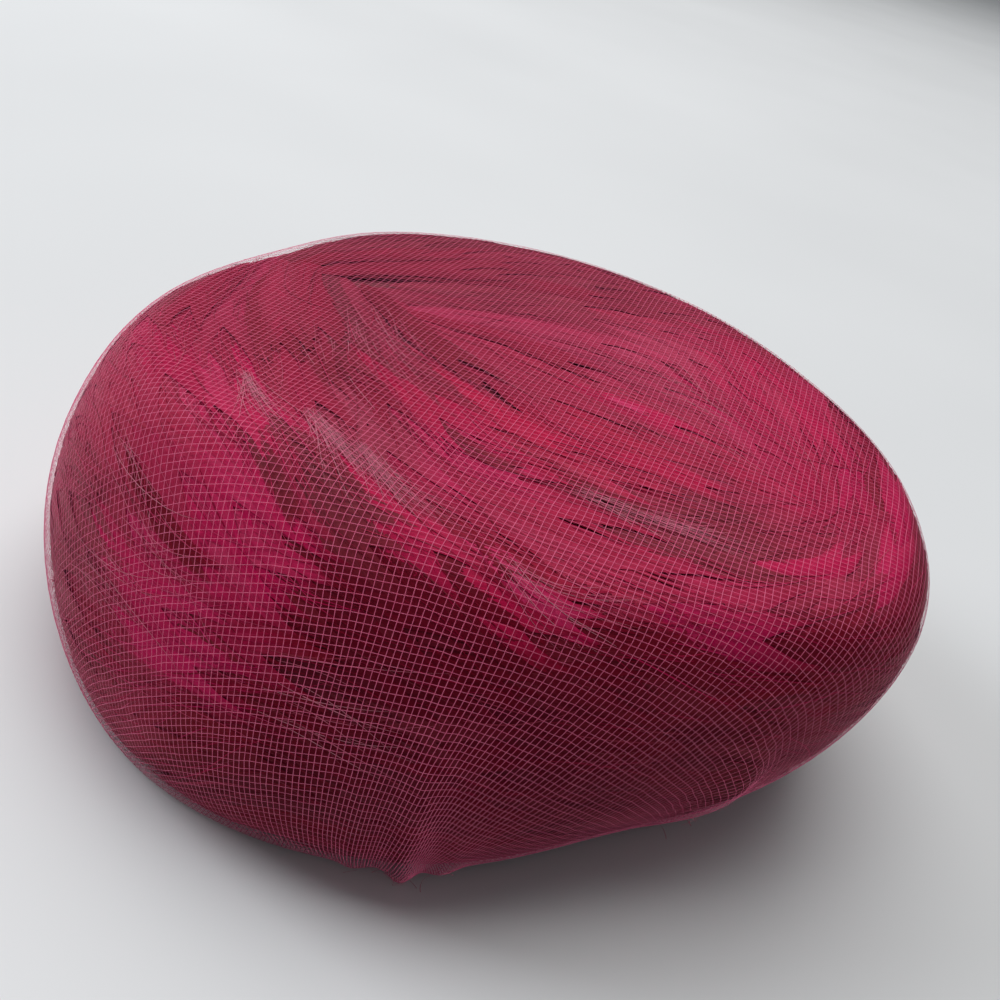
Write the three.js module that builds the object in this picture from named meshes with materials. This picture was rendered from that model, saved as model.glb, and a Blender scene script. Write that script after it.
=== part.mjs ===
// A feathered pillbox hat under fine net. Millimetres, +Z up, the front of the hat towards -Y,
// the wearer's left towards +X, the rim on the plane z = 0.
// A stiff hollow crown form carries two coats of feathers, one over the crown and one round the
// side, and one sheet of net covers all of it, turned under at the rim and gathered inside.

import * as THREE from 'three';

// Driving dimensions in millimetres: the oval of the outline, then the layers from the outside in
const HALF_WIDTH = 114;
const HALF_LENGTH = 123.5;
const CROWN_HEIGHT = 87;
const NET_THICKNESS = 1;
const FEATHER_PILE = 1.9;
const BACKING_THICKNESS = 1.3;
const FORM_THICKNESS = 2;
const CLEARANCE = 0.45;

// How far a flat facet may lie inside the curve that it spans
const FACET_SAG = 0.6;

// The net's edge inside the rim
const HEM_HEIGHT = 12;
const HEM_RIPPLE = 1.6;
const HEM_GATHERS = 14;

// The crown's feathers hang down over the front of the side, to this share of the way to the rim
const SEAM_SHARE = 0.55;
const FRONT_LAP = 0.27;
const FRONT_DIRECTION = -95;
const FRONT_SPREAD = 34;

// One feather vane
const VANE_LENGTH = 58;
const VANE_WIDTH = 17;
const VANE_STEPS = 7;
const VANE_RIDGE = 0.35;

// The outline, one row for each of twelve directions 30 degrees apart, from the wearer's left
// round by the back. Radii are shares of the oval in that direction, heights of the crown's height.
const SECTIONS = [
  { shoulder: 0.91, shoulderHeight: 0.90, widest: 1.00, widestHeight: 0.30, rim: 0.81 },
  { shoulder: 1.09, shoulderHeight: 0.88, widest: 1.04, widestHeight: 0.31, rim: 0.88 },
  { shoulder: 1.02, shoulderHeight: 0.95, widest: 1.03, widestHeight: 0.30, rim: 0.92 },
  { shoulder: 0.88, shoulderHeight: 1.02, widest: 1.00, widestHeight: 0.30, rim: 0.90 },
  { shoulder: 0.88, shoulderHeight: 1.02, widest: 0.99, widestHeight: 0.29, rim: 0.90 },
  { shoulder: 0.91, shoulderHeight: 1.00, widest: 1.01, widestHeight: 0.29, rim: 0.91 },
  { shoulder: 0.92, shoulderHeight: 0.97, widest: 1.00, widestHeight: 0.29, rim: 0.91 },
  { shoulder: 0.83, shoulderHeight: 0.96, widest: 0.99, widestHeight: 0.29, rim: 0.89 },
  { shoulder: 0.84, shoulderHeight: 0.95, widest: 1.01, widestHeight: 0.29, rim: 0.88 },
  { shoulder: 0.84, shoulderHeight: 0.97, widest: 1.00, widestHeight: 0.29, rim: 0.90 },
  { shoulder: 0.76, shoulderHeight: 1.00, widest: 1.03, widestHeight: 0.28, rim: 0.92 },
  { shoulder: 0.82, shoulderHeight: 0.95, widest: 1.06, widestHeight: 0.28, rim: 0.88 },
];

// The flat middle of the crown and the start of its slope to the shoulder, as shares of the shoulder
const FLAT_SHARE = 0.35;
const SLOPE_SHARE = 0.72;

// Hollows of the feathers, which the net spans: direction and spread in degrees, middle and reach
// as shares of the way to the rim, depth in millimetres
const HOLLOWS = [
  { direction: -95, spread: 26, middle: 0.74, reach: 0.16, depth: 3.2 },
  { direction: -40, spread: 24, middle: 0.36, reach: 0.12, depth: 2.4 },
  { direction: -139, spread: 22, middle: 0.44, reach: 0.10, depth: 1.8 },
];

// Folds of the net, drawn together where it is stitched: ridges that stand out from the side
const GATHERS = [
  { direction: -36, spread: 2.4, middle: 0.97, reach: 0.14, lift: 2.6 },
  { direction: -30, spread: 2.6, middle: 0.93, reach: 0.24, lift: 4.6 },
  { direction: -24, spread: 2.4, middle: 0.97, reach: 0.16, lift: 3.0 },
  { direction: 10, spread: 3.2, middle: 0.82, reach: 0.10, lift: 3.2 },
  { direction: 152, spread: 3.0, middle: 0.93, reach: 0.18, lift: 3.0 },
  { direction: -128, spread: 2.8, middle: 0.96, reach: 0.16, lift: 2.6 },
];

// How the feathers lie, on the hat unrolled to a disc with the middle of the crown at its centre
// and the rim at 1: x towards the wearer's left, y towards the back, lie in degrees from x
const COMBING = [
  { x: -0.10, y: -0.82, lie: 15 },
  { x: 0.25, y: -0.80, lie: 28 },
  { x: 0.42, y: -0.78, lie: 60 },
  { x: 0.52, y: -0.70, lie: 76 },
  { x: -0.10, y: -0.66, lie: 8 },
  { x: 0.15, y: -0.62, lie: 5 },
  { x: 0.34, y: -0.60, lie: 32 },
  { x: 0.50, y: -0.50, lie: 50 },
  { x: 0.64, y: -0.42, lie: 58 },
  { x: -0.26, y: -0.41, lie: 150 },
  { x: 0.00, y: -0.44, lie: 172 },
  { x: 0.22, y: -0.44, lie: 2 },
  { x: 0.42, y: -0.34, lie: 45 },
  { x: -0.15, y: -0.28, lie: 176 },
  { x: 0.15, y: -0.27, lie: 4 },
  { x: 0.38, y: -0.23, lie: 18 },
  { x: 0.08, y: -0.08, lie: 20 },
  { x: 0.26, y: -0.10, lie: 55 },
  { x: 0.42, y: 0.00, lie: 60 },
  { x: 0.58, y: -0.10, lie: 68 },
  { x: 0.10, y: 0.14, lie: 42 },
  { x: 0.27, y: 0.14, lie: 46 },
  { x: 0.36, y: 0.16, lie: 78 },
  { x: 0.50, y: 0.15, lie: 96 },
  { x: 0.68, y: 0.10, lie: 88 },
  { x: 0.80, y: -0.20, lie: 80 },
  { x: 0.20, y: 0.26, lie: 12 },
  { x: 0.45, y: 0.29, lie: 128 },
  { x: 0.30, y: 0.39, lie: 142 },
  { x: 0.08, y: 0.40, lie: 166 },
  { x: -0.20, y: 0.32, lie: 8 },
  { x: -0.42, y: 0.00, lie: 92 },
  { x: -0.75, y: 0.00, lie: 90 },
  { x: 0.00, y: 0.75, lie: 0 },
  { x: -0.55, y: 0.52, lie: 45 },
  { x: 0.55, y: 0.52, lie: 135 },
  { x: -0.55, y: -0.52, lie: 135 },
];

// The feathers run counter-clockwise round this place of the disc
const SWIRL = { x: 0.05, y: 0.29 };

// Rows of feathers from the middle outwards, later ones lapping over earlier ones
const CROWN_ROWS = [
  { share: 0.05, count: 3 },
  { share: 0.20, count: 7 },
  { share: 0.38, count: 12 },
  { share: 0.53, count: 14 },
];
const SIDE_ROWS = [
  { share: 0.66, count: 14 },
  { share: 0.82, count: 14 },
  { share: 0.95, count: 14 },
];
const LAP_ROW = { share: 0.70, count: 4, from: -125, to: -65 };

// Depths of the layers below the outer face of the net
const PILE_TOP = NET_THICKNESS + CLEARANCE + FACET_SAG;
const BACKING_TOP = PILE_TOP + FEATHER_PILE;
const BACKING_FOOT = BACKING_TOP + BACKING_THICKNESS;
const FORM_TOP = BACKING_FOOT + CLEARANCE + FACET_SAG;
const FORM_FOOT = FORM_TOP + FORM_THICKNESS;
const HEM_FACE = FORM_FOOT + CLEARANCE + FACET_SAG;
const HEM_FOOT = HEM_FACE + NET_THICKNESS;
const REST_HEIGHT = NET_THICKNESS + CLEARANCE;

// Fineness of the meshes: directions around, and rows as shares of the way down to an edge
const NET_DIRECTIONS = 44;
const FORM_DIRECTIONS = 44;
const COAT_DIRECTIONS = 76;
const NET_ROWS = [0.1, 0.2, 0.3, 0.39, 0.47, 0.54, 0.6, 0.66, 0.73, 0.8, 0.87, 0.94, 1];
const FORM_ROWS = [0.15, 0.28, 0.38, 0.46, 0.52, 0.58, 0.64, 0.7, 0.77, 0.85, 0.92, 0.96, 1];
const PILE_ROWS = [0.09, 0.18, 0.27, 0.36, 0.44, 0.52, 0.6, 0.68, 0.76, 0.84, 0.92, 1];
const BACKING_ROWS = [0.2, 0.36, 0.5, 0.6, 0.68, 0.76, 0.84, 0.92, 1];
const SIDE_PILE_ROWS = [0, 0.1, 0.2, 0.32, 0.45, 0.58, 0.72, 0.86, 1];
const SIDE_BACKING_ROWS = [0, 0.1, 0.2, 0.32, 0.47, 0.64, 0.82, 1];

// A height on the side is looked for between these ways down, by halving the stretch
const SIDE_START = 0.5;
const SIDE_END = 1.3;
const HALVINGS = 26;
const LEAST_TURN = 2;
const PROFILE_SAMPLES = 40;
const SMALL = 1e-3;

const radians = THREE.MathUtils.degToRad;

// How near a direction is to another, 1 on it and 0 far away
function bump(distance, spread) {
  return Math.exp(-((distance / spread) ** 2));
}

function turnBetween(a, b) {
  const full = 2 * Math.PI;
  return THREE.MathUtils.euclideanModulo(a - b + Math.PI, full) - Math.PI;
}

// A column of the sections' table in any direction, as a smooth curve through its twelve values
function section(column, phi) {
  const count = SECTIONS.length;
  const place = THREE.MathUtils.euclideanModulo((phi / (2 * Math.PI)) * count, count);
  const row = Math.floor(place);
  const t = place - row;
  const at = (step) => SECTIONS[(row + step + count) % count][column];
  const slopeIn = (at(1) - at(-1)) / 2;
  const slopeOut = (at(2) - at(0)) / 2;
  const rise = at(1) - at(0);
  const cubic = slopeIn + slopeOut - 2 * rise;
  const square = 3 * rise - 2 * slopeIn - slopeOut;
  return at(0) + t * (slopeIn + t * (square + t * cubic));
}

// The control polygon of the outline in one direction, from the middle of the crown to the rim
function outline(phi) {
  const oval = 1 / Math.hypot(Math.cos(phi) / HALF_WIDTH, Math.sin(phi) / HALF_LENGTH);
  const shoulder = oval * section('shoulder', phi);
  const shoulderHeight = CROWN_HEIGHT * section('shoulderHeight', phi);
  return [
    new THREE.Vector2(0, CROWN_HEIGHT),
    new THREE.Vector2(shoulder * FLAT_SHARE, CROWN_HEIGHT),
    new THREE.Vector2(shoulder * SLOPE_SHARE, (CROWN_HEIGHT + shoulderHeight) / 2),
    new THREE.Vector2(shoulder, shoulderHeight),
    new THREE.Vector2(oval * section('widest', phi), CROWN_HEIGHT * section('widestHeight', phi)),
    new THREE.Vector2(oval * section('rim', phi), 0),
  ];
}

// A place on the smooth curve that the control polygon guides, going straight on past the rim
function profile(points, way) {
  const spans = points.length - 2;
  const place = Math.min(way, 1) * spans;
  const span = Math.min(Math.floor(place), spans - 1);
  const t = place - span;
  const middle = points[span + 1];
  const start = span === 0 ? points[0] : points[span].clone().lerp(middle, 0.5);
  const end = span === spans - 1 ? points[span + 2] : middle.clone().lerp(points[span + 2], 0.5);
  const spot = start.clone().lerp(middle, t).lerp(middle.clone().lerp(end, t), t);
  if (way > 1) {
    spot.addScaledVector(end.clone().sub(middle), 2 * spans * (way - 1));
  }
  return spot;
}

function facePoint(phi, way) {
  const spot = profile(outline(phi), way);
  return new THREE.Vector3(spot.x * Math.cos(phi), spot.x * Math.sin(phi), spot.y);
}

function faceNormal(phi, way) {
  if (way < SMALL) {
    return new THREE.Vector3(0, 0, 1);
  }
  const down = facePoint(phi, way + SMALL).sub(facePoint(phi, way - SMALL));
  const round = facePoint(phi + SMALL, way).sub(facePoint(phi - SMALL, way));
  return down.cross(round).normalize();
}

// How far the feathers sink below the net's usual place over them, and how far the net stands out
function sink(phi, way) {
  return HOLLOWS.reduce((sum, row) => {
    const turn = turnBetween(phi, radians(row.direction));
    return sum + row.depth * bump(turn, radians(row.spread)) * bump(way - row.middle, row.reach);
  }, 0);
}

function lift(phi, way) {
  return GATHERS.reduce((sum, row) => {
    const turn = turnBetween(phi, radians(row.direction));
    return sum + row.lift * bump(turn, radians(row.spread)) * bump(way - row.middle, row.reach);
  }, 0);
}

// A layer at a depth below the outer face of the net, which follows the net or the feathers
function netLayer(depth) {
  return (phi, way) => {
    const out = lift(phi, way) - depth;
    return facePoint(phi, way).addScaledVector(faceNormal(phi, way), out);
  };
}

function bodyLayer(depth) {
  return (phi, way) => {
    const down = depth + sink(phi, way);
    return facePoint(phi, way).addScaledVector(faceNormal(phi, way), -down);
  };
}

// The hem's layers ripple in gathers that deepen upwards
function hemLayer(depth) {
  return (phi, way) => {
    const wave = 0.5 - 0.5 * Math.cos(HEM_GATHERS * phi);
    const rise = THREE.MathUtils.clamp(facePoint(phi, way).z / HEM_HEIGHT, 0, 1);
    const down = depth + sink(phi, way) + HEM_RIPPLE * wave * rise;
    return facePoint(phi, way).addScaledVector(faceNormal(phi, way), -down);
  };
}

// The way at which a layer comes down to a height
function wayTo(layer, phi, height) {
  let low = SIDE_START;
  let high = SIDE_END;
  for (let step = 0; step < HALVINGS; step++) {
    const middle = (low + high) / 2;
    if (layer(phi, middle).z > height) {
      low = middle;
    } else {
      high = middle;
    }
  }
  return (low + high) / 2;
}

// Directions evenly spread, with the crest and the feet of each gather set among them
function spread(count, gathers = []) {
  const even = Array.from({ length: count }, (_, step) => (2 * Math.PI * step) / count);
  const set = gathers.flatMap((row) => [-1, 0, 1].map((side) => radians(row.direction + side * row.spread)));
  const apart = (phi, others, gap) => others.every((other) => Math.abs(turnBetween(phi, other)) > gap);
  const kept = even.filter((phi) => apart(phi, set, radians(LEAST_TURN)));
  const full = 2 * Math.PI;
  return [...kept, ...set].map((phi) => THREE.MathUtils.euclideanModulo(phi, full)).sort((a, b) => a - b);
}

function ring(directions, layer, wayOf) {
  return directions.map((phi) => layer(phi, wayOf(phi)));
}

// Rings of a layer from one edge down to another, or from the middle of the crown
function ringsDown(directions, layer, rows, lower, upper = () => 0) {
  const ways = directions.map((phi) => [upper(phi), lower(phi)]);
  return rows.map((share) => directions.map((phi, side) => (
    layer(phi, THREE.MathUtils.lerp(ways[side][0], ways[side][1], share))
  )));
}

// A closed mesh through rings of points, ending in points at its poles or joined up end to end
function closedMesh(rings, poles) {
  const around = rings[0].length;
  const points = rings.flat();
  const index = [];
  const last = poles ? rings.length - 1 : rings.length;
  for (let row = 0; row < last; row++) {
    const next = (row + 1) % rings.length;
    for (let side = 0; side < around; side++) {
      const beside = (side + 1) % around;
      const a = row * around + side;
      const b = next * around + side;
      const c = next * around + beside;
      const d = row * around + beside;
      index.push(a, b, c, a, c, d);
    }
  }
  if (poles) {
    const top = points.push(poles[0]) - 1;
    const foot = points.push(poles[1]) - 1;
    const start = (rings.length - 1) * around;
    for (let side = 0; side < around; side++) {
      const beside = (side + 1) % around;
      index.push(top, side, beside);
      index.push(foot, start + beside, start + side);
    }
  }
  const geometry = new THREE.BufferGeometry().setFromPoints(points);
  geometry.setIndex(index);
  return geometry;
}

// The seam where the side's feathers meet the crown's, shifted by half of the clearance
function seam(phi) {
  const turn = turnBetween(phi, radians(FRONT_DIRECTION));
  return SEAM_SHARE + FRONT_LAP * bump(turn, radians(FRONT_SPREAD));
}

function seamEdge(side) {
  return (phi) => {
    const stretch = facePoint(phi, seam(phi) + SMALL).distanceTo(facePoint(phi, seam(phi))) / SMALL;
    return seam(phi) + (side * CLEARANCE) / stretch;
  };
}

// From a place on the unrolled disc to a direction and a way down the outline
function unrolled(spot) {
  const phi = Math.atan2(spot.y, spot.x);
  const points = outline(phi);
  const samples = [];
  let total = 0;
  let before = points[0];
  for (let step = 1; step <= PROFILE_SAMPLES; step++) {
    const here = profile(points, step / PROFILE_SAMPLES);
    total += here.distanceTo(before);
    samples.push(total);
    before = here;
  }
  const wanted = Math.min(spot.length(), 1) * total;
  const step = samples.findIndex((length) => length >= wanted);
  const start = step > 0 ? samples[step - 1] : 0;
  return [phi, (step + (wanted - start) / (samples[step] - start)) / PROFILE_SAMPLES];
}

// The way the feathers lie at a place on the disc
function combed(spot) {
  let across = 0;
  let along = 0;
  for (const row of COMBING) {
    const weight = 1 / ((spot.x - row.x) ** 2 + (spot.y - row.y) ** 2 + 0.002) ** 1.5;
    across += weight * Math.cos(radians(2 * row.lie));
    along += weight * Math.sin(radians(2 * row.lie));
  }
  const heading = Math.atan2(along, across) / 2;
  const way = new THREE.Vector2(Math.cos(heading), Math.sin(heading));
  const round = new THREE.Vector2(-(spot.y - SWIRL.y), spot.x - SWIRL.x);
  return way.dot(round) < 0 ? way.negate() : way;
}

// One feather vane from its root to its tip, following the combing: at each step its middle, the
// way across it, half of its width and how far it stands up, as a share of the pile
function vane(root) {
  const skin = bodyLayer(PILE_TOP);
  const spot = root.clone();
  const steps = [];
  for (let step = 0; step <= VANE_STEPS; step++) {
    const t = step / VANE_STEPS;
    const way = combed(spot);
    const here = skin(...unrolled(spot));
    const ahead = skin(...unrolled(spot.clone().addScaledVector(way, SMALL))).sub(here);
    const [phi, wayDown] = unrolled(spot);
    steps.push({
      middle: here,
      side: faceNormal(phi, wayDown).cross(ahead).normalize(),
      reach: (VANE_WIDTH / 2) * Math.sin(Math.PI * (0.16 + 0.78 * t)),
      rise: Math.sin(Math.PI * (0.06 + 0.78 * t)),
    });
    spot.addScaledVector(way, (VANE_LENGTH / VANE_STEPS) * (SMALL / ahead.length()));
    if (spot.length() > 1) {
      spot.setLength(1);
    }
  }
  return steps;
}

function rowOfVanes({ share, count, from = 0, to = 360 }, number) {
  return Array.from({ length: count }, (_, step) => {
    const phi = radians(from + ((step + 0.5 * (number % 2)) * (to - from)) / count);
    return vane(new THREE.Vector2(Math.cos(phi), Math.sin(phi)).multiplyScalar(share));
  });
}

// How far one vane stands up at a point: a ridge near one edge, sloping off to both edges
function standing(steps, point) {
  let best = 0;
  for (let step = 0; step < steps.length - 1; step++) {
    const start = steps[step];
    const run = steps[step + 1].middle.clone().sub(start.middle);
    const from = point.clone().sub(start.middle);
    const t = from.dot(run) / run.lengthSq();
    if (t < 0 || t > 1) {
      continue;
    }
    const across = from.addScaledVector(run, -t).dot(start.side);
    const off = across / THREE.MathUtils.lerp(start.reach, steps[step + 1].reach, t);
    const slope = off > VANE_RIDGE ? (1 - off) / (1 - VANE_RIDGE) : (1 + off) / (1 + VANE_RIDGE);
    best = Math.max(best, slope * THREE.MathUtils.lerp(start.rise, steps[step + 1].rise, t));
  }
  return best;
}

// The outer face of a coat of feathers, with its vanes raised over their backing
function pileLayer(rows) {
  const vanes = rows.flatMap(rowOfVanes);
  const skin = bodyLayer(PILE_TOP);
  return (phi, way) => {
    const point = skin(phi, way);
    const high = vanes.reduce((most, steps) => Math.max(most, standing(steps, point)), 0);
    return bodyLayer(BACKING_TOP - high * FEATHER_PILE)(phi, way);
  };
}

function crownForm() {
  const directions = spread(FORM_DIRECTIONS);
  const top = bodyLayer(FORM_TOP);
  const foot = bodyLayer(FORM_FOOT);
  const rim = (layer) => (phi) => wayTo(layer, phi, REST_HEIGHT);
  const down = ringsDown(directions, top, FORM_ROWS, rim(top));
  const up = ringsDown(directions, foot, FORM_ROWS, rim(foot)).reverse();
  return closedMesh([...down, ...up], [top(0, 0), foot(0, 0)]);
}

function crownFeathers() {
  const directions = spread(COAT_DIRECTIONS);
  const pile = pileLayer([...CROWN_ROWS, LAP_ROW]);
  const foot = bodyLayer(BACKING_FOOT);
  const edge = seamEdge(-0.5);
  const down = ringsDown(directions, pile, PILE_ROWS, edge);
  const up = ringsDown(directions, foot, BACKING_ROWS, edge).reverse();
  return closedMesh([...down, ...up], [pile(0, 0), foot(0, 0)]);
}

function sideFeathers() {
  const directions = spread(COAT_DIRECTIONS);
  const pile = pileLayer(SIDE_ROWS);
  const foot = bodyLayer(BACKING_FOOT);
  const edge = seamEdge(0.5);
  const rim = (layer) => (phi) => wayTo(layer, phi, REST_HEIGHT);
  const down = ringsDown(directions, pile, SIDE_PILE_ROWS, rim(pile), edge);
  const up = ringsDown(directions, foot, SIDE_BACKING_ROWS, rim(foot), edge).reverse();
  return closedMesh([...down, ...up], null);
}

// One sheet of net: over the crown, down the side, under the rim and up inside to its gathered edge
function netCover() {
  const directions = spread(NET_DIRECTIONS, GATHERS);
  const outer = netLayer(0);
  const inner = netLayer(NET_THICKNESS);
  const face = hemLayer(HEM_FACE);
  const foot = hemLayer(HEM_FOOT);
  const at = (layer, height) => ring(directions, layer, (phi) => wayTo(layer, phi, height));
  const hem = [
    at(foot, 0),
    at(foot, HEM_HEIGHT / 2),
    at(foot, HEM_HEIGHT),
    at(face, HEM_HEIGHT),
    at(face, HEM_HEIGHT / 2),
    at(face, NET_THICKNESS),
  ];
  const down = ringsDown(directions, outer, NET_ROWS, (phi) => wayTo(outer, phi, 0));
  const up = ringsDown(directions, inner, NET_ROWS, (phi) => wayTo(inner, phi, NET_THICKNESS)).reverse();
  return closedMesh([...down, ...hem, ...up], [outer(0, 0), inner(0, 0)]);
}

function piece(name, geometry, color, roughness) {
  const material = new THREE.MeshStandardMaterial({ color, roughness, metalness: 0 });
  geometry.computeVertexNormals();
  const mesh = new THREE.Mesh(geometry, material);
  mesh.name = name;
  return mesh;
}

const hat = new THREE.Group();
hat.add(piece('crown_form', crownForm(), '#3d1020', 0.9));
hat.add(piece('crown_feathers', crownFeathers(), '#a8174c', 0.5));
hat.add(piece('side_feathers', sideFeathers(), '#6b0e31', 0.5));
hat.add(piece('net_cover', netCover(), '#d98aa4', 0.7));

// The origin is on the rim plane under the middle of the whole outline
const middle = new THREE.Box3().setFromObject(hat).getCenter(new THREE.Vector3());
hat.position.set(-middle.x, -middle.y, 0);

export default hat;
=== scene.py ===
import math

import bpy
import numpy as np
from mathutils import Matrix, Vector


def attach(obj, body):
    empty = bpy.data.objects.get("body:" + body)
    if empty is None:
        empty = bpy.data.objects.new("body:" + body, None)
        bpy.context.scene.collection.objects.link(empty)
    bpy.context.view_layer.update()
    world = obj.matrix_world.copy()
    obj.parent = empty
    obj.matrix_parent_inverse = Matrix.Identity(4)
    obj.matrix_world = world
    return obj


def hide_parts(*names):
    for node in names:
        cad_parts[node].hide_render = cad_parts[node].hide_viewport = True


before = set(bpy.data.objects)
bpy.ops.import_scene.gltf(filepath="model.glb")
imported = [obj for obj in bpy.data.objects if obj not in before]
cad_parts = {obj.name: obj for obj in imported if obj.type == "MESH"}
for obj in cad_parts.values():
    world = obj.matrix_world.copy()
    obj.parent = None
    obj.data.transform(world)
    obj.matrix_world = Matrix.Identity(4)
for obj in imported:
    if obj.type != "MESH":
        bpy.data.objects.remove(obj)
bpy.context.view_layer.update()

# ---- Camera ----
# It stands above the floor at the hat's front left and looks down on the crown, turned a little
# to one side, as the hat was seen.
AIM = Vector((-0.0018, 0.0079, 0.0396))
DISTANCE = 0.3189
AZIMUTH, ELEVATION, ROLL = (math.radians(turn) for turn in (56.29, 32.26, 16.2))
LENS, SENSOR = 38.25, 36
NEAREST, FURTHEST = 0.01, 20

back = Vector((
    math.sin(AZIMUTH) * math.cos(ELEVATION),
    -math.cos(AZIMUTH) * math.cos(ELEVATION),
    math.sin(ELEVATION),
))
level = Vector((math.cos(AZIMUTH), math.sin(AZIMUTH), 0))
upright = back.cross(level)
right = math.cos(ROLL) * level + math.sin(ROLL) * upright
up = math.cos(ROLL) * upright - math.sin(ROLL) * level
camera = bpy.data.objects.new("camera", bpy.data.cameras.new("camera"))
facing = Matrix((right, up, back)).transposed().to_4x4()
camera.matrix_world = Matrix.Translation(AIM + back * DISTANCE) @ facing
camera.data.lens = LENS
camera.data.sensor_width = SENSOR
camera.data.clip_start, camera.data.clip_end = NEAREST, FURTHEST
bpy.context.scene.collection.objects.link(camera)
bpy.context.scene.camera = camera
bpy.context.scene.view_settings.view_transform = "Standard"

# ---- Crown form ----
# The stiff hollow form inside the hat: wool felt, blocked to a soft pillbox and dyed dark wine.
# It keeps the CAD node. Its outer face guides every layer over it. Lengths are in millimetres.
MM = 0.001
HALF_WIDTH, HALF_LENGTH, CROWN_HEIGHT = 114, 123.5, 87
OFF_MIDDLE = np.array((1.845, 0.335, 0))
# Twelve values round the hat, as shares of the plain oval and of the crown's height
OUTLINE = {
    "shoulder": (0.91, 1.09, 1.02, 0.88, 0.88, 0.91, 0.92, 0.83, 0.84, 0.84, 0.76, 0.82),
    "shoulder_height": (0.90, 0.88, 0.95, 1.02, 1.02, 1.00, 0.97, 0.96, 0.95, 0.97, 1.00, 0.95),
    "widest": (1.00, 1.04, 1.03, 1.00, 0.99, 1.01, 1.00, 0.99, 1.01, 1.00, 1.03, 1.06),
    "widest_height": (0.30, 0.31, 0.30, 0.30, 0.29, 0.29, 0.29, 0.29, 0.29, 0.29, 0.28, 0.28),
    "rim": (0.81, 0.88, 0.92, 0.90, 0.90, 0.91, 0.91, 0.89, 0.88, 0.90, 0.92, 0.88),
}
FLAT_SHARE, SLOPE_SHARE, SPANS = 0.35, 0.72, 4
# Rows of the tables of the face: directions, places down each, and samples of each arc
AROUND, DOWN, SAMPLES = 720, 241, 401
FELT_DARK, FELT = "#2a0914", "#4a1426"
CLOUD_SCALE, NAP_SCALE = 60.0, 1400.0


def linear(colour):
    """A colour of a hex value as linear light, with its alpha."""
    shares = [int(colour[i : i + 2], 16) / 255 for i in (1, 3, 5)]
    return [c / 12.92 if c <= 0.04045 else ((c + 0.055) / 1.055) ** 2.4 for c in shares] + [1.0]


def add_node(tree, kind, inputs=None, **settings):
    """One node with its settings, its constants and the sockets that lead into it."""
    node = tree.nodes.new(kind)
    for name, value in settings.items():
        setattr(node, name, value)
    for name, value in (inputs or {}).items():
        if isinstance(value, bpy.types.NodeSocket):
            tree.links.new(value, node.inputs[name])
        else:
            node.inputs[name].default_value = value
    return node


def new_material(name):
    """A material, its node tree and its shader."""
    material = bpy.data.materials.new(name)
    material.use_nodes = True
    return material, material.node_tree, material.node_tree.nodes["Principled BSDF"]


def ramp(tree, factor, stops):
    """A colour ramp through stops of a place and a colour."""
    node = add_node(tree, "ShaderNodeValToRGB", {"Fac": factor})
    bands = node.color_ramp.elements
    while len(bands) < len(stops):
        bands.new(0.5)
    for band, (place, colour) in zip(bands, stops):
        band.position, band.color = place, linear(colour)
    return node.outputs["Color"]


def section(column, phi):
    """A row of the outline's values in any direction, as a smooth curve through its twelve."""
    values = np.array(OUTLINE[column])
    place = phi / (2 * np.pi) * len(values) % len(values)
    row = np.floor(place).astype(int)
    t = place - row
    before, here, after, beyond = (values[(row + step) % len(values)] for step in (-1, 0, 1, 2))
    slope_in, slope_out, rise = (after - before) / 2, (beyond - here) / 2, after - here
    square, cube = 3 * rise - 2 * slope_in - slope_out, slope_in + slope_out - 2 * rise
    return here + t * (slope_in + t * (square + t * cube))


def face(phi, way):
    """Places on the outer face, by direction and way from the crown's middle (0) to the rim (1)."""
    oval = 1 / np.hypot(np.cos(phi) / HALF_WIDTH, np.sin(phi) / HALF_LENGTH)
    shoulder = oval * section("shoulder", phi)
    height = CROWN_HEIGHT * section("shoulder_height", phi)
    full = np.full_like(phi, CROWN_HEIGHT)
    widest_height = CROWN_HEIGHT * section("widest_height", phi)
    radii = np.array([0 * phi, shoulder * FLAT_SHARE, shoulder * SLOPE_SHARE, shoulder,
                      oval * section("widest", phi), oval * section("rim", phi)])
    heights = np.array([full, full, (full + height) / 2, height, widest_height, 0 * phi])
    guide = np.stack([radii, heights], -1)
    pick = np.arange(phi.size)
    span = np.minimum((np.clip(way, 0, 1) * SPANS).astype(int), SPANS - 1)
    t = (np.clip(way, 0, 1) * SPANS - span)[:, None]
    middle = guide[span + 1, pick]
    start = np.where(span[:, None] == 0, guide[0], (guide[span, pick] + middle) / 2)
    end = np.where(span[:, None] == SPANS - 1, guide[-1], (middle + guide[span + 2, pick]) / 2)
    spot = (1 - t) ** 2 * start + 2 * t * (1 - t) * middle + t**2 * end
    spot += (end - middle) * (2 * SPANS * np.maximum(way - 1, 0))[:, None]
    return np.stack([spot[:, 0] * np.cos(phi), spot[:, 0] * np.sin(phi), spot[:, 1]], -1)


def face_normal(phi, way, step=1e-3):
    """The way straight out of the face."""
    way = np.maximum(way, 2 * step)
    down = face(phi, way + step) - face(phi, way - step)
    around = face(phi + step, way) - face(phi - step, way)
    normal = np.cross(down, around)
    return normal / np.linalg.norm(normal, axis=-1, keepdims=True)


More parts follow.
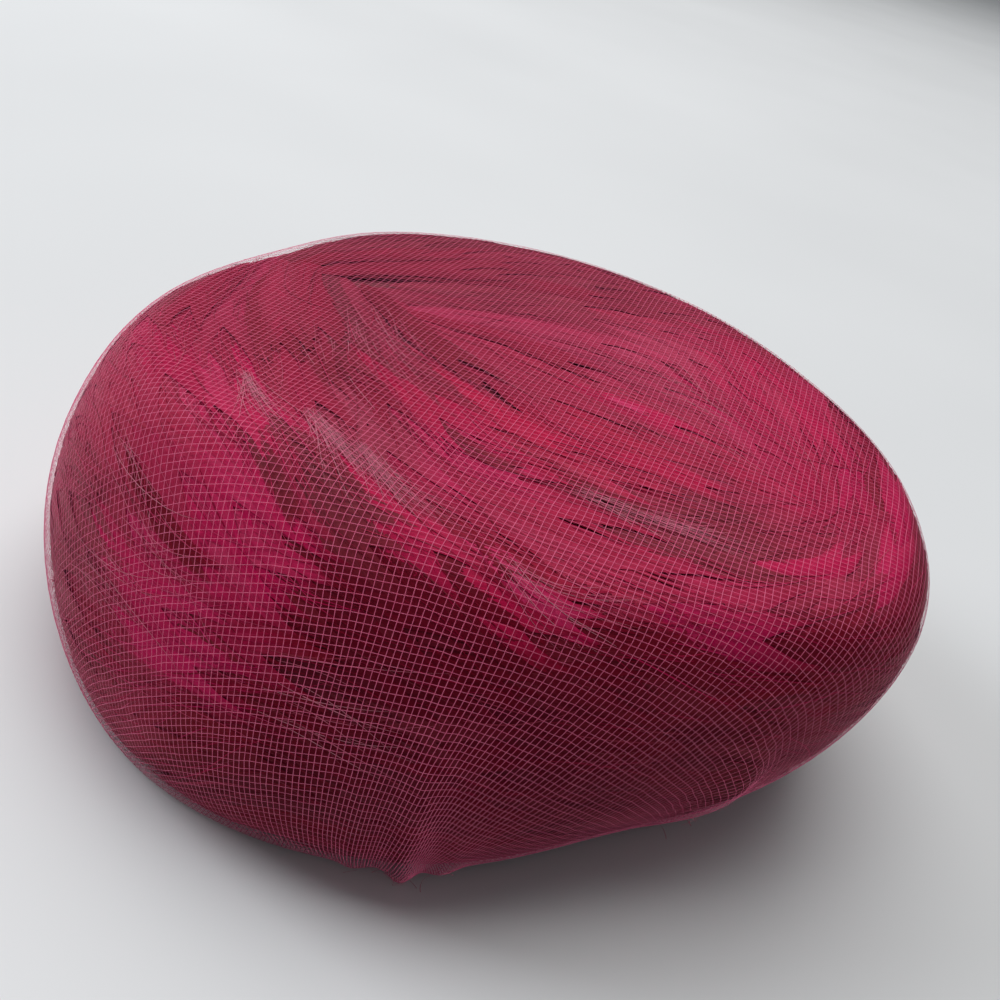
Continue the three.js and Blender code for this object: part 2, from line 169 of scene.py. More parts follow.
# The face in tables by direction and by share of the arc from the crown's middle to the rim
directions = np.arange(AROUND) * 2 * np.pi / AROUND
ways = np.linspace(0, 1, SAMPLES)
arcs = face(np.repeat(directions, SAMPLES), np.tile(ways, AROUND)).reshape(AROUND, SAMPLES, 3)
runs = np.linalg.norm(np.diff(arcs, axis=1, prepend=arcs[:, :1]), axis=-1)
arcs = np.cumsum(runs, axis=1)
ARC = arcs[:, -1]
WAY = np.array([np.interp(np.linspace(0, total, DOWN), arc, ways) for arc, total in zip(arcs, ARC)])
grid_phi = np.repeat(directions, DOWN)
PLACE = face(grid_phi, WAY.ravel()).reshape(AROUND, DOWN, 3)
NORMAL = face_normal(grid_phi, WAY.ravel()).reshape(AROUND, DOWN, 3)

# Blocked wool felt: a matt, short nap with a faint cloudy dye
felt, tree, shader = new_material("blocked_wool_felt")
place = add_node(tree, "ShaderNodeTexCoord").outputs["Object"]
cloud = add_node(tree, "ShaderNodeTexNoise", {"Vector": place, "Scale": CLOUD_SCALE, "Detail": 4.0})
nap = add_node(tree, "ShaderNodeTexNoise", {"Vector": place, "Scale": NAP_SCALE, "Detail": 3.0})
both = {0: cloud.outputs["Fac"], 1: nap.outputs["Fac"]}
both = add_node(tree, "ShaderNodeMath", both, operation="MULTIPLY").outputs[0]
tree.links.new(ramp(tree, both, ((0.12, FELT_DARK), (0.4, FELT))), shader.inputs["Base Color"])
shader.inputs["Roughness"].default_value = 0.95
shader.inputs["Sheen Weight"].default_value = 0.3
relief = {"Height": nap.outputs["Fac"], "Distance": 0.0004, "Strength": 0.6}
relief = add_node(tree, "ShaderNodeBump", relief)
tree.links.new(relief.outputs["Normal"], shader.inputs["Normal"])
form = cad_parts["crown_form"]
form.data.materials.clear()
form.data.materials.append(felt)

# ---- Feather backings ----
# Under each coat lies a thin layer of down and quill butts, glued flat on the form and dyed with
# the feathers. One covers the crown and one the side, and they meet at a seam. Places on them are
# given on the hat unrolled to a disc: the angle is the direction, the radius the share of the arc.
BACKING_TOP, BACKING_THICKNESS = 2.75, 2.5
BACKING_AROUND, BACKING_ROWS, POLE_SHARE, SEAM_GAP = 180, 48, 0.02, 0.002
EDGE_SHARE = 0.985
SEAM_SHARE, FRONT_LAP, FRONT_DIRECTION, FRONT_SPREAD = 0.55, 0.27, -95, 34
# Hollows of the coat: direction and spread in degrees, middle and reach as shares of the way
HOLLOWS = (
    {"direction": -90, "spread": 20, "middle": 0.76, "reach": 0.16, "depth": 1.4},
    {"direction": -40, "spread": 24, "middle": 0.36, "reach": 0.12, "depth": 1.4},
    {"direction": -139, "spread": 22, "middle": 0.44, "reach": 0.10, "depth": 0.5},
)
# How the coat is coloured, at places of the disc: bright is 0 for near black wine to 1 for the
# clearest, magenta is 0 for crimson to 1 for magenta, grey is how much the dye has missed.
# Bright holds the dye's own tones and painted shade: its lowest values, on the side wall facing
# the camera, paint that wall's shade into the colour
DYE_AND_SHADE = (
    # x, y, bright, magenta, grey
    (0, 0, 0.46, 0.35, 0.1), (-0.15, 0.02, 0.44, 0.4, 0.12), (0.1, 0.15, 0.6, 0.3, 0.15),
    (0.2, -0.03, 0.72, 0.1, 0.05), (0.05, -0.15, 0.42, 0.4, 0.12), (0.24, -0.19, 0.78, 0.7, 0.05),
    (0.3, 0.03, 0.7, 0.15, 0.05), (0.36, 0.12, 0.34, 0.3, 0.2), (0.42, -0.02, 0.58, 0.2, 0.05),
    (0.47, -0.12, 0.64, 0.15, 0.05), (0.5, 0.05, 0.58, 0.6, 0.05), (0.42, 0.25, 0.52, 0.4, 0.1),
    (0.3, 0.3, 0.66, 0.45, 0.05), (0.1, 0.38, 0.72, 0.45, 0.05), (-0.05, 0.3, 0.62, 0.5, 0.15),
    (-0.25, 0.3, 0.42, 0.4, 0.15), (-0.3, 0.1, 0.42, 0.4, 0.15), (-0.4, 0, 0.34, 0.4, 0.15),
    (-0.35, -0.2, 0.3, 0.4, 0.12), (-0.2, -0.25, 0.32, 0.4, 0.1), (0, -0.3, 0.32, 0.4, 0.12),
    (0.2, -0.29, 0.46, 0.3, 0.15), (0.3, -0.36, 0.3, 0.4, 0.15), (0.38, -0.3, 0.5, 0.4, 0.1),
    (0, -0.45, 0.52, 0.45, 0.1), (0.15, -0.45, 0.7, 0.45, 0.05), (0.25, -0.5, 0.8, 0.6, 0),
    (0.34, -0.46, 0.76, 0.6, 0), (0.5, -0.43, 0.12, 0.3, 0), (0.42, -0.4, 0.16, 0.4, 0),
    (0.43, -0.33, 0.2, 0.3, 0), (0.49, -0.28, 0.16, 0.2, 0), (0.46, -0.5, 0.2, 0.5, 0),
    (0.05, -0.58, 0.6, 0.3, 0.1), (0.2, -0.6, 0.52, 0.4, 0.1), (0.35, -0.62, 0.66, 0.8, 0.05),
    (0.46, -0.57, 0.42, 0.8, 0), (0.1, -0.72, 0.36, 0.4, 0.25), (0.3, -0.74, 0.48, 0.6, 0.05),
    (0.5, -0.7, 0.28, 0.7, 0), (0.3, -0.85, 0.34, 0.5, 0.1), (0.57, -0.55, 0.1, 0.5, 0),
    (0.52, -0.25, 0.22, 0.2, 0), (0.58, -0.1, 0.26, 0.3, 0), (0.6, 0.12, 0.36, 0.6, 0),
    (0.66, -0.2, 0.1, 0.4, 0), (0.7, 0.1, 0.12, 0.5, 0.05), (0.8, -0.1, 0.08, 0.5, 0.05),
    (0.6, -0.4, 0.08, 0.4, 0), (0.75, -0.4, 0.08, 0.4, 0), (0.6, 0.25, 0.3, 0.5, 0.05),
    (0.55, 0.45, 0.3, 0.5, 0.05), (0.3, 0.6, 0.4, 0.5, 0.1), (0, 0.6, 0.42, 0.5, 0.1),
    (-0.4, 0.5, 0.4, 0.5, 0.2), (-0.6, 0.2, 0.32, 0.4, 0.2), (-0.6, -0.3, 0.36, 0.4, 0.2),
    (-0.5, -0.6, 0.5, 0.5, 0.1), (0, 0.85, 0.24, 0.5, 0.05), (-0.85, 0, 0.24, 0.4, 0.05),
    (0.6, 0.7, 0.2, 0.5, 0), (-0.6, 0.65, 0.26, 0.5, 0.05), (-0.3, -0.85, 0.42, 0.5, 0.1),
)
DYE_AND_SHADE_BLUR = 0.0006
WINE, DARK_CRIMSON, CRIMSON = "#540419", "#78061f", "#b20c3b"
MAGENTA, ROSE, ASH = "#bc1355", "#d2416f", "#b5707e"
# The brightness at which the colour is dark crimson, then clear, and from where it pales to
# rose. Below dark crimson it deepens to near black wine, which is partly painted shade
DARK_AT, CLEAR_AT, ROSE_FROM, ROSE_SPAN, LEAST_ASH = 0.35, 0.7, 0.8, 0.4, 0.35


def bump(distance, spread):
    """A smooth bump: 1 in its middle, falling to nothing past its spread."""
    return np.exp(-((distance / spread) ** 2))


def turn_between(a, b):
    return (a - b + np.pi) % (2 * np.pi) - np.pi


def standing(rows, phi, way):
    """How deep the hollows are, or how far the gathers stand out, at a place."""
    total = 0
    for row in rows:
        turn = turn_between(phi, math.radians(row["direction"]))
        beside = bump(turn, math.radians(row["spread"]))
        total = total + row["depth"] * beside * bump(way - row["middle"], row["reach"])
    return total


def looked_up(table, phi, share):
    """A table's value at any direction and share of the arc."""
    rows, columns = table.shape[:2]
    across, down = phi / (2 * np.pi) % 1 * rows, np.clip(share, 0, 1) * (columns - 1)
    i, j = across.astype(int) % rows, np.minimum(down.astype(int), columns - 2)
    u, v, k = across - np.floor(across), down - j, (i + 1) % rows
    if table.ndim == 3:
        u, v = u[..., None], v[..., None]
    nearer = table[i, j] * (1 - u) + table[k, j] * u
    further = table[i, j + 1] * (1 - u) + table[k, j + 1] * u
    return nearer * (1 - v) + further * v


def disc_spot(phi, share):
    return np.stack([share * np.cos(phi), share * np.sin(phi)], -1)


def on_disc(spot):
    """The direction and the share of the arc of places on the disc."""
    return np.arctan2(spot[..., 1], spot[..., 0]), np.hypot(spot[..., 0], spot[..., 1])


SINK = standing(HOLLOWS, grid_phi, WAY.ravel()).reshape(AROUND, DOWN)


def over_backing(spot, height):
    """Places at a height over the feathers' backing, in millimetres."""
    phi, share = on_disc(spot)
    depth = BACKING_TOP + looked_up(SINK, phi, share) - height
    return looked_up(PLACE, phi, share) - looked_up(NORMAL, phi, share) * depth[..., None]


def dye_and_shade_at(spot):
    """Brightness, magenta and grey at places on the disc: the dye's own tones, with painted shade
    where it is darkest.
    """
    total, mixed = 0, 0
    for x, y, *dye_and_shade in DYE_AND_SHADE:
        weight = 1 / ((spot[..., 0] - x) ** 2 + (spot[..., 1] - y) ** 2 + DYE_AND_SHADE_BLUR) ** 2
        total, mixed = total + weight, mixed + weight[..., None] * np.array(dye_and_shade)
    return mixed / total[..., None]


def colour_of(bright, magenta, grey):
    """The colour in linear light: the dye's own tones, with painted shade towards the near black
    wine end.
    """
    tones = (WINE, DARK_CRIMSON, CRIMSON, MAGENTA, ROSE, ASH)
    wine, dark, crimson, pink, rose, ash = (np.array(linear(dye_and_shade)[:3]) for dye_and_shade in tones)
    bright, magenta, grey = (np.clip(part, 0, 1)[..., None] for part in (bright, magenta, grey))
    clear = crimson * (1 - magenta) + pink * magenta
    low = np.clip(bright / DARK_AT, 0, 1)
    mid = np.clip((bright - DARK_AT) / (CLEAR_AT - DARK_AT), 0, 1)
    high = np.clip((bright - ROSE_FROM) / ROSE_SPAN, 0, 1)
    colour = wine * (1 - low) + dark * low
    colour = colour * (1 - mid) + clear * mid
    colour = colour * (1 - high) + rose * high
    return colour * (1 - grey) + ash * (LEAST_ASH + bright) * grey


def seam(phi):
    """The way down at which the crown's coat ends, which is further at the front."""
    turn = turn_between(phi, math.radians(FRONT_DIRECTION))
    return SEAM_SHARE + FRONT_LAP * bump(turn, math.radians(FRONT_SPREAD))


def seam_share(phi, gap):
    """The share of the arc at the seam, or a gap past it."""
    row = (phi / (2 * np.pi) * AROUND).astype(int) % AROUND
    shares = np.linspace(0, 1, DOWN)
    return np.array([np.interp(way, WAY[i], shares) for way, i in zip(seam(phi) + gap, row)])


def mesh_object(name, points, faces=(), edges=()):
    """A mesh from points in millimetres, at its place in the frame."""
    mesh = bpy.data.meshes.new(name)
    mesh.from_pydata(((points - OFF_MIDDLE) * MM).tolist(), edges, faces)
    made = bpy.data.objects.new(name, mesh)
    bpy.context.scene.collection.objects.link(made)
    return made


def attribute(made, key, kind, values):
    """Values stored on the points of an object's mesh."""
    field = {"FLOAT": "value", "FLOAT_VECTOR": "vector", "FLOAT_COLOR": "color"}[kind]
    values = np.ascontiguousarray(values, np.float32).ravel()
    made.data.attributes.new(key, kind, "POINT").data.foreach_set(field, values)


# Glued down: matt and mottled, as the down took up more or less of the dye
backing, tree, shader = new_material("glued_down_backing")
place = add_node(tree, "ShaderNodeTexCoord").outputs["Object"]
down = add_node(tree, "ShaderNodeTexNoise", {"Vector": place, "Scale": 260.0, "Detail": 5.0})
# The colour on the points is the coat's colour: the dye's own tones, with painted shade where it is
# darkest
dye_and_shade = add_node(tree, "ShaderNodeAttribute", attribute_name="dye_and_shade")
down = down.outputs["Fac"]
mottle = {"Value": down, "From Min": 0.3, "From Max": 0.7, "To Min": 0.6, "To Max": 1.1}
mottle = add_node(tree, "ShaderNodeMapRange", mottle)
mottled = {0: dye_and_shade.outputs["Color"], "Scale": mottle.outputs["Result"]}
mottled = add_node(tree, "ShaderNodeVectorMath", mottled, operation="SCALE")
tree.links.new(mottled.outputs["Vector"], shader.inputs["Base Color"])
shader.inputs["Roughness"].default_value = 0.85
relief = add_node(tree, "ShaderNodeBump", {"Height": down, "Distance": 0.0006})
tree.links.new(relief.outputs["Normal"], shader.inputs["Normal"])


def shell(name, first, last, poled):
    """A closed backing between two shares of the arc in every direction, with poles or open."""
    rings = []
    for depth, order in ((0.0, 1), (-BACKING_THICKNESS, -1)):
        for share in np.linspace(POLE_SHARE if poled else 0, 1, BACKING_ROWS)[::order]:
            spot = disc_spot(around, first + (last - first) * share)
            rings.append((spot, over_backing(spot, depth)))
    count = len(rings)
    spots, points = (np.concatenate(part) for part in zip(*rings))
    faces = []
    for row in range(count - 1 if poled else count):
        here, below = row * BACKING_AROUND, (row + 1) % count * BACKING_AROUND
        for side in range(BACKING_AROUND):
            beside = (side + 1) % BACKING_AROUND
            faces.append((here + side, below + side, below + beside, here + beside))
    if poled:
        top, foot, last_row = len(points), len(points) + 1, (count - 1) * BACKING_AROUND
        spots = np.concatenate([spots, np.zeros((2, 2))])
        poles = over_backing(np.zeros((2, 2)), np.array([0.0, -BACKING_THICKNESS]))
        points = np.concatenate([points, poles])
        for side in range(BACKING_AROUND):
            beside = (side + 1) % BACKING_AROUND
            faces.append((top, side, beside))
            faces.append((foot, last_row + beside, last_row + side))
    made = mesh_object(name, points, faces=faces)
    colour = np.column_stack([colour_of(*dye_and_shade_at(spots).T), np.ones(len(points))])
    attribute(made, "dye_and_shade", "FLOAT_COLOR", colour)
    made.data.shade_smooth()
    made.data.materials.append(backing)
    return made


around = np.arange(BACKING_AROUND) * 2 * np.pi / BACKING_AROUND
nought, edge = np.zeros(BACKING_AROUND), np.full(BACKING_AROUND, EDGE_SHARE)
crown_backing = shell("crown_feather_backing", nought, seam_share(around, -SEAM_GAP), True)
side_backing = shell("side_feather_backing", seam_share(around, SEAM_GAP), edge, False)
for piece, node in ((crown_backing, "crown_feathers"), (side_backing, "side_feathers")):
    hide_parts(node)
    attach(piece, "root")

# ---- Feathers ----
# Two coats of satiny dyed goose feathers, glued in rows. Each has a quill, and barbs that leave
# it at a slant and bend along it. The crown's coat is bright and laps down over the front.
# How the feathers lie, in degrees, at places of the disc
COMBING = (
    # x, y, lie
    (-0.1, -0.82, 15), (0.25, -0.8, 28), (0.42, -0.78, 60), (0.52, -0.7, 76), (-0.1, -0.66, 8),
    (0.15, -0.62, 5), (0.34, -0.6, 32), (0.5, -0.5, 50), (0.64, -0.42, 58), (-0.26, -0.41, 150),
    (0, -0.44, 172), (0.22, -0.44, 2), (0.42, -0.34, 45), (-0.15, -0.28, 176), (0.15, -0.27, 4),
    (0.38, -0.23, 18), (0.08, -0.08, 20), (0.26, -0.1, 55), (0.42, 0, 60), (0.58, -0.1, 68),
    (0.1, 0.14, 42), (0.27, 0.14, 46), (0.36, 0.16, 78), (0.5, 0.15, 96), (0.68, 0.1, 88),
    (0.8, -0.2, 80), (0.2, 0.26, 12), (0.45, 0.29, 128), (0.3, 0.39, 142), (0.08, 0.4, 166),
    (-0.2, 0.32, 55), (-0.24, 0.05, 78), (-0.42, 0, 92), (-0.75, 0, 90), (0, 0.75, 0),
    (-0.55, 0.52, 45), (0.55, 0.52, 135), (-0.55, -0.52, 135),
)
COMBING_BLUR = 0.002
# Of a line's two ways, the feathers take the one nearer to this sweep over the crown, and further
# out nearer to the way round the side
CROWN_SWEEP, SWEEP_FROM, SWEEP_TO = math.radians(45), 0.5, 0.7
# Feathers that show on their own above the coat, by the place of their root on the disc. Their
# dark rows are painted shade: on the side wall facing the camera, and narrow ones for the shadowed
# gaps between bright feathers
SHOWN = (
    # x, y, length, breadth, bright, magenta, grey
    (0.03, -0.5, 43, 1.45, 0.88, 0.6, 0), (-0.08, -0.55, 50, 0.9, 0.6, 0.55, 0.05),
    (0.05, -0.7, 46, 1, 0.66, 0.75, 0), (0.18, -0.75, 42, 1, 0.7, 0.85, 0),
    (0.24, -0.64, 40, 1.1, 0.5, 0.8, 0), (0.31, -0.26, 46, 0.55, 0.96, 0.75, 0),
    (0.2, -0.36, 44, 0.9, 0.8, 0.35, 0), (0.36, -0.31, 36, 0.9, 0.72, 0.25, 0),
    (0.5, -0.08, 38, 1, 0.62, 0.85, 0), (0.06, -0.12, 34, 0.8, 0.84, 0.05, 0),
    (-0.05, -0.22, 42, 0.8, 0.62, 0.25, 0), (0.18, 0.02, 38, 0.7, 0.74, 0.2, 0),
    (0.02, 0.05, 42, 0.9, 0.76, 0.4, 0), (0.5, 0.22, 38, 0.8, 0.86, 0.55, 0),
    (0.42, 0.36, 40, 0.8, 0.8, 0.6, 0), (0.44, 0.12, 34, 0.7, 0.78, 0.45, 0),
    (0, 0.46, 44, 0.9, 0.8, 0.45, 0), (-0.2, -0.46, 46, 1.1, 0.62, 0.55, 0),
    (-0.34, -0.16, 44, 1, 0.42, 0.45, 0.05), (-0.1, -0.33, 42, 0.9, 0.5, 0.4, 0.05),
    # Painted shade: dark feathers on the side wall facing the camera and in narrow shadowed gaps
    (0.3, -0.46, 40, 1.2, 0.16, 0.4, 0), (0.33, -0.38, 38, 0.9, 0.22, 0.3, 0),
    (0.45, -0.3, 40, 0.8, 0.2, 0.2, 0), (0.52, -0.16, 38, 0.7, 0.24, 0.4, 0),
    (0.56, 0.06, 36, 0.7, 0.2, 0.5, 0), (0.12, -0.44, 34, 0.35, 0.24, 0.4, 0.1),
    (0.1, -0.2, 36, 0.4, 0.24, 0.2, 0.1), (0.26, -0.1, 32, 0.4, 0.26, 0.2, 0.1),
    (0.08, -0.6, 40, 0.4, 0.22, 0.5, 0), (0.5, 0.36, 34, 0.35, 0.24, 0.5, 0.1),
    (0.1, 0.11, 8, 0.8, 1.2, 0.6, 0), (-0.36, -0.34, 40, 0.9, 0.46, 0.5, 0.05),
    (-0.28, -0.3, 42, 0.9, 0.4, 0.4, 0.05), (-0.22, -0.14, 44, 0.9, 0.34, 0.3, 0.05),
    (-0.14, -0.06, 42, 0.8, 0.48, 0.3, 0.05), (-0.3, 0.06, 44, 0.8, 0.42, 0.4, 0.05),
    (-0.31, -0.24, 40, 0.9, 0.46, 0.4, 0.1), (-0.33, -0.27, 40, 0.9, 0.5, 0.4, 0.1),
    (-0.3, -0.28, 40, 0.9, 0.44, 0.4, 0.05), (-0.34, -0.22, 40, 0.9, 0.46, 0.4, 0.05),
    (-0.38, -0.2, 44, 0.8, 0.4, 0.4, 0.05), (-0.4, -0.12, 44, 0.8, 0.44, 0.4, 0.05),
    (-0.37, -0.06, 44, 0.8, 0.42, 0.4, 0.05), (-0.6, -0.26, 44, 0.8, 0.46, 0.5, 0.05),
)
FEATHER_LENGTH, FEATHER_SPACING, FEATHER_TRIES = 60, 11, 9000
QUILL_POINTS, QUILL_RUN = 16, 1.4 * FEATHER_LENGTH
BARBS, BARB_POINTS, BARB_LENGTH = 40, 5, 34
FIRST_BARB, LAST_BARB, BARBED_SHARE = -0.3, 0.97, 0.86
BARB_LEAVES, BARB_ENDS = math.radians(30), math.radians(5)
BARB_HALF_WIDTHS = (0.55, 0.85, 0.85, 0.6, 0.15)
# How high the barbs lie over the backing: the tips rise, the vane's edges droop, and all settle
# under the net
LEAST_HEIGHT, FEATHER_RISE, BARB_STEP, SHOWN_HEIGHT = 1.0, 0.8, 0.009, 0.3
EDGE_DROOP, VANE_WIDTH = 0.4, 9
FLOOR_HEIGHT, SETTLED_HEIGHT, MOST_HEIGHT = 0.1, 1.9, 2.36
# A feather's end and its barbs' tips fade into the colour around them, painted shade included
FADE_FROM, FADE_SPAN, SHOWS_AT = 0.65, 0.55, 0.72
NUDGE, LEAST_PACE = 1e-3, 20
NAMED = "GeometryNodeInputNamedAttribute"
chance = np.random.default_rng(47)


def combed(spot):
    """The way that the feathers lie at places on the disc."""
    across, along = 0, 0
    for x, y, lie in COMBING:
        away = (spot[..., 0] - x) ** 2 + (spot[..., 1] - y) ** 2
        weight = 1 / (away + COMBING_BLUR) ** 1.5
        across = across + weight * math.cos(math.radians(2 * lie))
        along = along + weight * math.sin(math.radians(2 * lie))
    heading = np.arctan2(along, across) / 2
    way = np.stack([np.cos(heading), np.sin(heading)], -1)
    out = np.linalg.norm(spot, axis=-1, keepdims=True)
    side = np.clip((out - SWEEP_FROM) / (SWEEP_TO - SWEEP_FROM), 0, 1)
    over = np.array([math.cos(CROWN_SWEEP), math.sin(CROWN_SWEEP)])
    round_it = np.stack([-spot[..., 1], spot[..., 0]], -1) / np.maximum(out, 1e-6)
    sweep = over * (1 - side) + round_it * side
    return np.where((way * sweep).sum(-1, keepdims=True) < 0, -way, way)


def pace(spot, way):
    """Millimetres on the hat for one unit of the disc along a way."""
    moved = over_backing(spot + NUDGE * way, 0) - over_backing(spot, 0)
    return np.maximum(np.linalg.norm(moved, axis=-1, keepdims=True) / NUDGE, LEAST_PACE)


def on_hat(spot):
    """Places kept on the hat, short of its rim."""
    return spot / np.maximum(np.linalg.norm(spot, axis=-1, keepdims=True) / EDGE_SHARE, 1)


def stepped(spot, way, length):
    """Places on the disc a length in millimetres further along a way."""
    return on_hat(spot + way * length / pace(spot, way))


def scattered(spacing, tries):
    """Places on the disc, none nearer to another on the hat than a spacing."""
    share = np.sqrt(chance.random(tries)) * EDGE_SHARE
    spots = disc_spot(chance.random(tries) * 2 * np.pi, share)
    points = over_backing(spots, 0)
    kept = []
    for number in range(tries):
        apart = np.linalg.norm(points[kept] - points[number], axis=-1)
        if not kept or np.min(apart) > spacing:
            kept.append(number)
    return spots[kept]


def sampled(lines, place):
    """Values of lines (n, points, k) at places (n, ...) counted in their points."""
    low = np.clip(np.floor(place).astype(int), 0, lines.shape[1] - 2)
    t = (place - low)[..., None]
    number = np.arange(len(lines)).reshape((-1,) + (1,) * (place.ndim - 1))
    return lines[number, low] * (1 - t) + lines[number, low + 1] * t


def new_tree(name, sockets, result):
    """A tree of geometry nodes with named inputs and one result, and its inputs' sockets."""
    tree = bpy.data.node_groups.new(name, "GeometryNodeTree")
    for label, kind in sockets.items():
        tree.interface.new_socket(label, in_out="INPUT", socket_type="NodeSocket" + kind)
    tree.interface.new_socket(result, in_out="OUTPUT", socket_type="NodeSocketGeometry")
    return tree, add_node(tree, "NodeGroupInput").outputs


def grown(name, tree, made, sizes):
    """The plain mesh that a tree of geometry nodes makes of an object."""
    modifier = made.modifiers.new(name, "NODES")
    modifier.node_group = tree
    for item in tree.interface.items_tree:
        if item.name in sizes:
            modifier[item.identifier] = sizes[item.name]
    depsgraph = bpy.context.evaluated_depsgraph_get()
    mesh = bpy.data.meshes.new_from_object(
        made.evaluated_get(depsgraph), preserve_all_data_layers=True, depsgraph=depsgraph
    )
    made.modifiers.clear()
    made.data = mesh
    mesh.name = name
    return made


def marked(tree, curve, name, value):
    """A curve with a value stored on its points."""
    stored = {"Geometry": curve.outputs["Curve"], "Name": name, "Value": value}
    kind = "GeometryNodeStoreNamedAttribute"
    return add_node(tree, kind, stored, data_type="FLOAT", domain="POINT").outputs["Geometry"]


def swept(tree, given, profile, scale, result):
    """The tree's result: its lines swept with a profile that lies on the coat, in their finish."""
    lay = add_node(tree, NAMED, {"Name": "lay"}, data_type="FLOAT_VECTOR")
    curves = add_node(tree, "GeometryNodeMeshToCurve", {"Mesh": given["Lines"]})
    laid = {"Curve": curves.outputs["Curve"], "Normal": lay.outputs["Attribute"]}
    laid = add_node(tree, "GeometryNodeSetCurveNormal", laid, mode="FREE").outputs["Curve"]
    made = {"Curve": laid, "Profile Curve": profile, "Scale": scale}
    made = add_node(tree, "GeometryNodeCurveToMesh", made)
    whole = add_node(tree, "GeometryNodeRealizeInstances", {"Geometry": made.outputs["Mesh"]})
    painted = {"Geometry": whole.outputs["Geometry"], "Material": given["Finish"]}
    painted = add_node(tree, "GeometryNodeSetMaterial", painted)
    add_node(tree, "NodeGroupOutput", {result: painted.outputs["Geometry"]})


# Every line of points becomes a flat strand, as wide as its points say and lying on the coat
ribbons, given = new_tree(
    "strands", {"Lines": "Geometry", "Width": "Float", "Finish": "Material"}, "Strands"
)
half = add_node(ribbons, NAMED, {"Name": "half_width"}, data_type="FLOAT")
sized = {0: half.outputs["Attribute"], 1: given["Width"]}
sized = add_node(ribbons, "ShaderNodeMath", sized, operation="MULTIPLY")
flat = add_node(ribbons, "GeometryNodeCurvePrimitiveLine", {"Start": (0, -1, 0), "End": (0, 1, 0)})
across = add_node(ribbons, "GeometryNodeSplineParameter").outputs["Factor"]
section_line = marked(ribbons, flat, "across", across)
swept(ribbons, given, section_line, sized.outputs[0], "Strands")


def strands(name, points, lay, width, colour, along, strand):
    """One piece of flat barbs: points (n, k, 3), and at each its way up, half width and colour."""
    count, steps = points.shape[:2]
    index = np.arange(count * steps).reshape(count, steps)
    edges = np.stack([index[:, :-1], index[:, 1:]], -1).reshape(-1, 2)
    made = mesh_object(name, points.reshape(-1, 3), edges=edges.tolist())
    attribute(made, "lay", "FLOAT_VECTOR", lay)
    attribute(made, "half_width", "FLOAT", width)
    colour = np.concatenate([colour, np.ones(colour.shape[:-1] + (1,))], -1)
    attribute(made, "dye_and_shade", "FLOAT_COLOR", colour)
    attribute(made, "along", "FLOAT", along)
    attribute(made, "strand", "FLOAT", strand)
    return grown(name, ribbons, made, {"Width": MM, "Finish": barb})


# Dyed goose feather: satiny barbs a third of a millimetre apart, drawn as coarse as they show. A
# grain along each ribbon of barbs stands for the finer ones.
barb, tree, shader = new_material("dyed_goose_feather")
# The colour on the points is the coat's colour: the dye's own tones, with painted shade where it is
# darkest
dye_and_shade = add_node(tree, "ShaderNodeAttribute", attribute_name="dye_and_shade").outputs["Color"]
along = add_node(tree, "ShaderNodeAttribute", attribute_name="along").outputs["Fac"]
side = add_node(tree, "ShaderNodeAttribute", attribute_name="across").outputs["Fac"]
own = add_node(tree, "ShaderNodeAttribute", attribute_name="strand").outputs["Fac"]
shift = add_node(tree, "ShaderNodeMath", {0: own, 1: 37.0}, operation="MULTIPLY").outputs[0]
beside = {0: side, 1: 3.2, 2: shift}
beside = add_node(tree, "ShaderNodeMath", beside, operation="MULTIPLY_ADD").outputs[0]
length = add_node(tree, "ShaderNodeMath", {0: along, 1: 0.07}, operation="MULTIPLY").outputs[0]
spot = add_node(tree, "ShaderNodeCombineXYZ", {0: length, 1: beside, 2: own}).outputs[0]
grain = {"Vector": spot, "Scale": 2.2, "Detail": 3.0, "Roughness": 0.65}
grain = add_node(tree, "ShaderNodeTexNoise", grain).outputs["Fac"]
streak = {"Value": grain, "From Min": 0.3, "From Max": 0.7, "To Min": 0.8, "To Max": 1.22}
streak = add_node(tree, "ShaderNodeMapRange", streak).outputs["Result"]
streaked = add_node(tree, "ShaderNodeVectorMath", {0: dye_and_shade, "Scale": streak}, operation="SCALE")
tree.links.new(streaked.outputs["Vector"], shader.inputs["Base Color"])
shader.inputs["Roughness"].default_value = 0.5
shader.inputs["Specular IOR Level"].default_value = 0.06
shader.inputs["Sheen Weight"].default_value = 0.06
shader.inputs["Sheen Tint"].default_value = linear("#d0305c")
shader.inputs["Sheen Roughness"].default_value = 0.4
arch = add_node(tree, "ShaderNodeMath", {0: side, 1: math.pi}, operation="MULTIPLY").outputs[0]
arch = add_node(tree, "ShaderNodeMath", {0: arch}, operation="SINE").outputs[0]
ribbed = {0: grain, 1: 0.6, 2: arch}
ribbed = add_node(tree, "ShaderNodeMath", ribbed, operation="MULTIPLY_ADD").outputs[0]
relief = {"Height": ribbed, "Distance": 0.00018, "Strength": 0.35}
relief = add_node(tree, "ShaderNodeBump", relief)
tree.links.new(relief.outputs["Normal"], shader.inputs["Normal"])

# Every feather's quill runs with the combing from its root
shown = np.array(SHOWN)
roots = np.concatenate([scattered(FEATHER_SPACING, FEATHER_TRIES), shown[:, :2]])
count = len(roots)
coat = count - len(SHOWN)
unit = QUILL_RUN / QUILL_POINTS
quills = [roots]
for step in range(QUILL_POINTS - 1):
    quills.append(stepped(quills[-1], combed(quills[-1]), unit))
quills = np.stack(quills, 1)
ahead = combed(quills)
beside = np.stack([-ahead[..., 1], ahead[..., 0]], -1)
beside = beside / pace(quills, beside)
length = np.append(FEATHER_LENGTH * chance.uniform(0.8, 1.15, coat), shown[:, 2])
breadth = np.append(np.ones(coat), shown[:, 3])
shown_above = SHOWN_HEIGHT + FEATHER_RISE * (1 - shown[:, 2] / FEATHER_LENGTH)
above = np.append(chance.uniform(0, 0.25, coat), shown_above)

